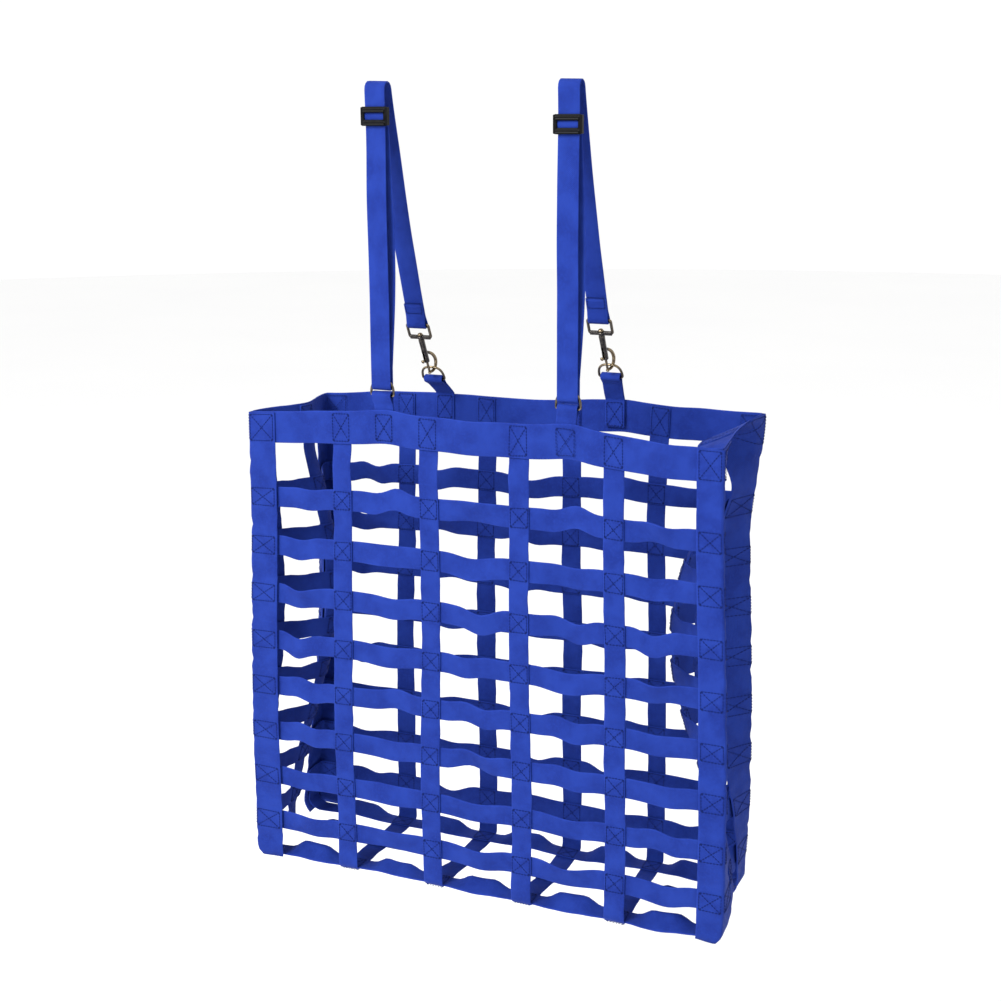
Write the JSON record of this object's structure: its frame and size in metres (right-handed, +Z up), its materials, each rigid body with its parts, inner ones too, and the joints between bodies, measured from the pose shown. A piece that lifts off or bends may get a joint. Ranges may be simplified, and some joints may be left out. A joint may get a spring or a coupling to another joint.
{
  "type": "slow-feed hay bag",
  "caption": "Open-topped box of sewn webbing straps with slow-feed gaps, hung from two strap hangers with tri-glide adjusters, D-rings and swivel bolt snaps.",
  "frame": {"origin": "hang point: midway between the two hangers, at the inside top of their loops", "axes": "+Z up, +X to the bag's right seen from the front, +Y from the front panel to the back panel"},
  "size_m": [0.61, 0.1761, 0.9728],
  "materials": {
    "blue_webbing": "woven synthetic webbing, royal blue, matt with a faint sheen",
    "black_plastic": "moulded black, satin",
    "plated_metal": "dark nickel plate over die-cast metal and wire, worn a little brassy",
    "spring_steel": "bright drawn spring wire"
  },
  "bodies": {
    "root": {"rim_band": "blue_webbing", "row_band_1": "blue_webbing", "row_band_2": "blue_webbing", "row_band_3": "blue_webbing", "row_band_4": "blue_webbing", "row_band_5": "blue_webbing", "row_band_6": "blue_webbing", "row_band_7": "blue_webbing", "row_band_8": "blue_webbing", "upright_strap_1": "blue_webbing", "upright_strap_2": "blue_webbing", "upright_strap_3": "blue_webbing", "upright_strap_4": "blue_webbing", "side_strap": "blue_webbing", "bottom_strap_front": "blue_webbing", "bottom_strap_rear": "blue_webbing", "corner_strap_front_left": "blue_webbing", "corner_strap_front_right": "blue_webbing", "corner_strap_rear_left": "blue_webbing", "corner_strap_rear_right": "blue_webbing", "hanger_strap_left": "blue_webbing", "hanger_lap_left": "blue_webbing", "front_tab_left": "blue_webbing", "rear_tab_left": "blue_webbing", "hanger_strap_right": "blue_webbing", "hanger_lap_right": "blue_webbing", "front_tab_right": "blue_webbing", "rear_tab_right": "blue_webbing"},
    "tri_glide_left": {"tri_glide_left": "black_plastic"},
    "front_ring_left": {"front_d_ring_left": "plated_metal"},
    "rear_ring_left": {"rear_d_ring_left": "plated_metal"},
    "snap_eye_left": {"snap_eye_left": "plated_metal"},
    "snap_body_left": {"snap_body_left": "plated_metal", "snap_spring_left": "spring_steel"},
    "snap_bolt_left": {"snap_bolt_left": "plated_metal"},
    "tri_glide_right": {"tri_glide_right": "black_plastic"},
    "front_ring_right": {"front_d_ring_right": "plated_metal"},
    "rear_ring_right": {"rear_d_ring_right": "plated_metal"},
    "snap_eye_right": {"snap_eye_right": "plated_metal"},
    "snap_body_right": {"snap_body_right": "plated_metal", "snap_spring_right": "spring_steel"},
    "snap_bolt_right": {"snap_bolt_right": "plated_metal"}
  },
  "joints": [
    {"name": "tri_glide_slide_left", "type": "slide", "parent": "root", "child": "tri_glide_left", "axis": [0, 0, -1], "range_m": [0, 0.24], "deforming": ["hanger_lap_left"]},
    {"name": "front_ring_swing_left", "type": "hinge", "parent": "root", "child": "front_ring_left", "pos_m": [-0.1165, 0, -0.337], "axis": [1, 0, 0], "range_deg": [-5, 5]},
    {"name": "rear_ring_swing_left", "type": "hinge", "parent": "root", "child": "rear_ring_left", "pos_m": [-0.1165, 0.12995, -0.34011], "axis": [1, 0, 0], "range_deg": [0, 5]},
    {"name": "snap_swing_left", "type": "hinge", "parent": "root", "child": "snap_eye_left", "pos_m": [-0.1165, 0.09402, -0.28305], "axis": [1, 0, 0], "range_deg": [0, 2]},
    {"name": "snap_swivel_left", "type": "hinge", "parent": "snap_eye_left", "child": "snap_body_left", "pos_m": [-0.1165, 0.09402, -0.28305], "axis": [0, -0.454, 0.891], "range_deg": [0, 30]},
    {"name": "bolt_slide_left", "type": "slide", "parent": "snap_body_left", "child": "snap_bolt_left", "axis": [0, -0.454, 0.891], "range_m": [0, 0.012], "stiffness_N_per_m": 250, "springref_m": -0.004, "deforming": ["snap_spring_left"]},
    {"name": "tri_glide_slide_right", "type": "slide", "parent": "root", "child": "tri_glide_right", "axis": [0, 0, -1], "range_m": [0, 0.24], "deforming": ["hanger_lap_right"]},
    {"name": "front_ring_swing_right", "type": "hinge", "parent": "root", "child": "front_ring_right", "pos_m": [0.1165, 0, -0.337], "axis": [1, 0, 0], "range_deg": [-5, 5]},
    {"name": "rear_ring_swing_right", "type": "hinge", "parent": "root", "child": "rear_ring_right", "pos_m": [0.1165, 0.13195, -0.32411], "axis": [1, 0, 0], "range_deg": [0, 5]},
    {"name": "snap_swing_right", "type": "hinge", "parent": "root", "child": "snap_eye_right", "pos_m": [0.1165, 0.09602, -0.26705], "axis": [1, 0, 0], "range_deg": [0, 2]},
    {"name": "snap_swivel_right", "type": "hinge", "parent": "snap_eye_right", "child": "snap_body_right", "pos_m": [0.1165, 0.09602, -0.26705], "axis": [0, -0.454, 0.891], "range_deg": [0, 30]},
    {"name": "bolt_slide_right", "type": "slide", "parent": "snap_body_right", "child": "snap_bolt_right", "axis": [0, -0.454, 0.891], "range_m": [0, 0.012], "stiffness_N_per_m": 250, "springref_m": -0.004, "deforming": ["snap_spring_right"]}
  ]
}
